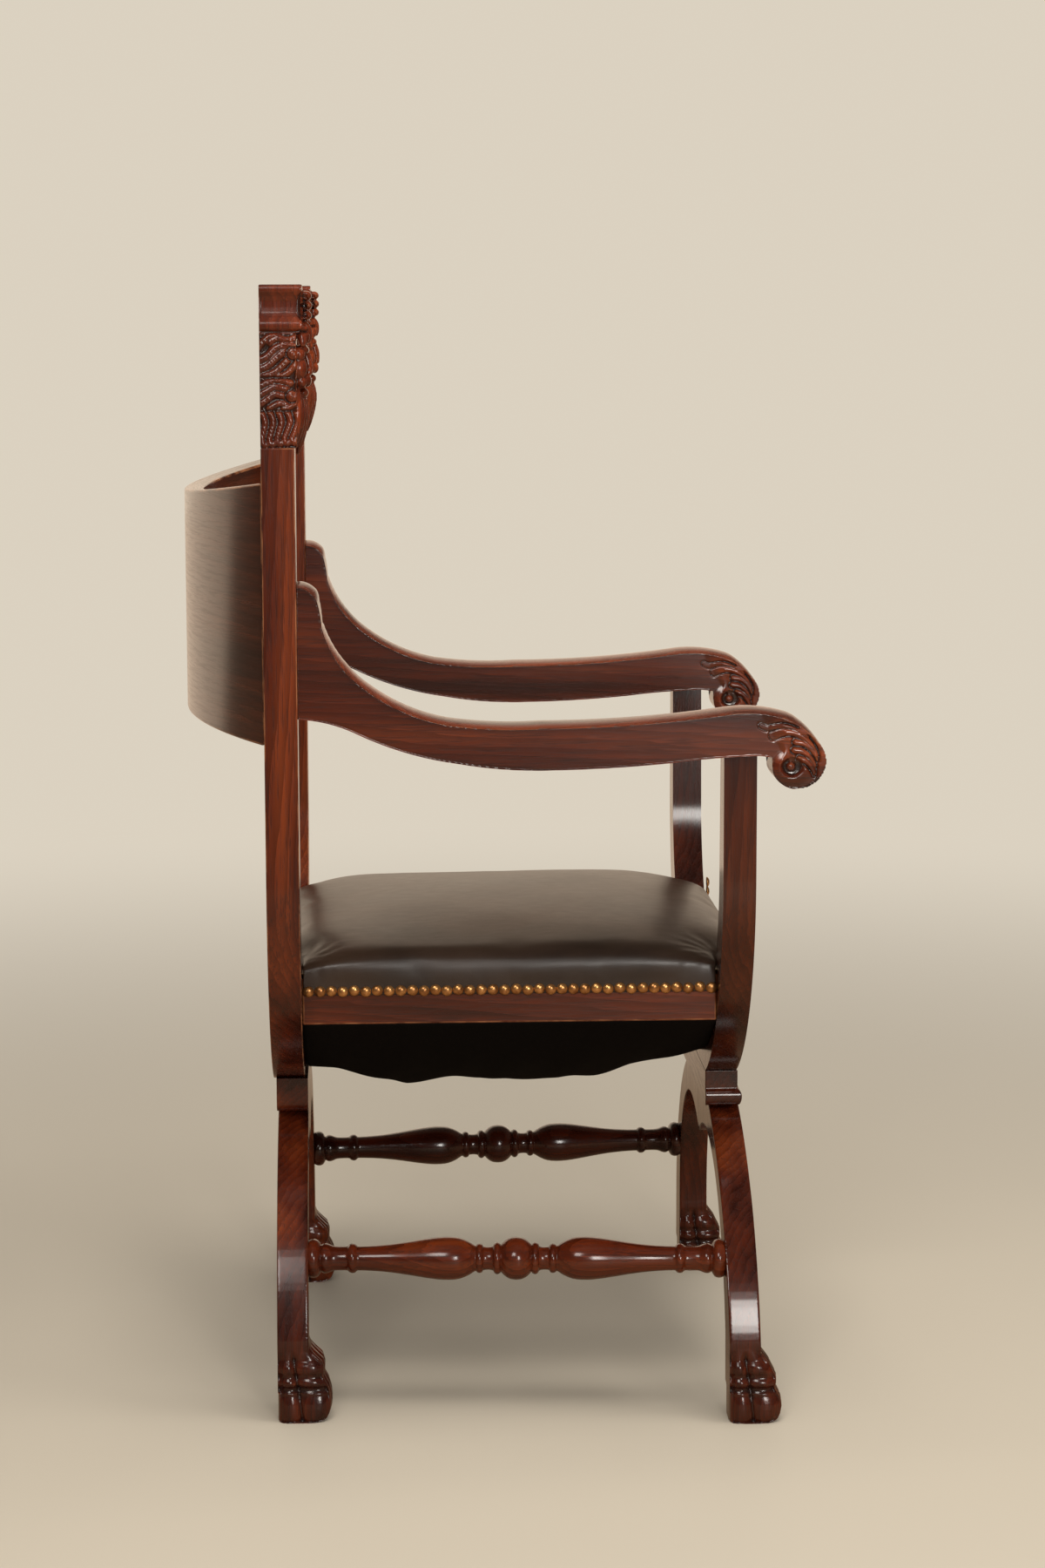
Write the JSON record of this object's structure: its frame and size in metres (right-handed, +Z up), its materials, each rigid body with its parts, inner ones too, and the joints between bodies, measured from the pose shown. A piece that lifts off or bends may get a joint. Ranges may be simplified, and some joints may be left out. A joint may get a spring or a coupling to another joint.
{
  "type": "savonarola chair",
  "caption": "Rigid oak armchair on U-shaped uprights and arched paw-foot legs, with scroll arms, bent back panel, carved post heads and a nailed leather seat.",
  "frame": {"origin": "On the floor, under the centre of the chair's bounding box.", "axes": "+Z up, the sitter faces -Y, +X to the sitter's left."},
  "size_m": [0.622, 0.627, 1.118],
  "materials": {
    "stained_oak": "satin",
    "leather": "satin",
    "black_cambric": "matte",
    "jute_webbing": "matte",
    "hessian": "matte",
    "hair_stuffing": "matte",
    "plain_beech": "matte",
    "antique_brass": "satin"
  },
  "bodies": {
    "root": {"arm_left": "stained_oak", "arm_pegs": "plain_beech", "arm_right": "stained_oak", "back_hub": "stained_oak", "back_leg_left": "stained_oak", "back_leg_right": "stained_oak", "back_panel": "stained_oak", "back_paw_left": "stained_oak", "back_paw_right": "stained_oak", "back_upright_left": "stained_oak", "back_upright_right": "stained_oak", "crest_pegs": "plain_beech", "crest_rail": "stained_oak", "dust_cover": "black_cambric", "front_hub": "stained_oak", "front_leg_left": "stained_oak", "front_leg_right": "stained_oak", "front_paw_left": "stained_oak", "front_paw_right": "stained_oak", "front_upright_left": "stained_oak", "front_upright_right": "stained_oak", "hub_pegs": "plain_beech", "leg_pegs": "plain_beech", "post_head_left": "stained_oak", "post_head_right": "stained_oak", "seat_corner_blocks": "plain_beech", "seat_front_rail": "stained_oak", "seat_hessian": "hessian", "seat_leather": "leather", "seat_pad": "hair_stuffing", "seat_rear_rail": "stained_oak", "seat_side_rail_left": "stained_oak", "seat_side_rail_right": "stained_oak", "seat_webbing": "jute_webbing", "stretcher_left": "stained_oak", "stretcher_right": "stained_oak"}
  },
  "joints": []
}
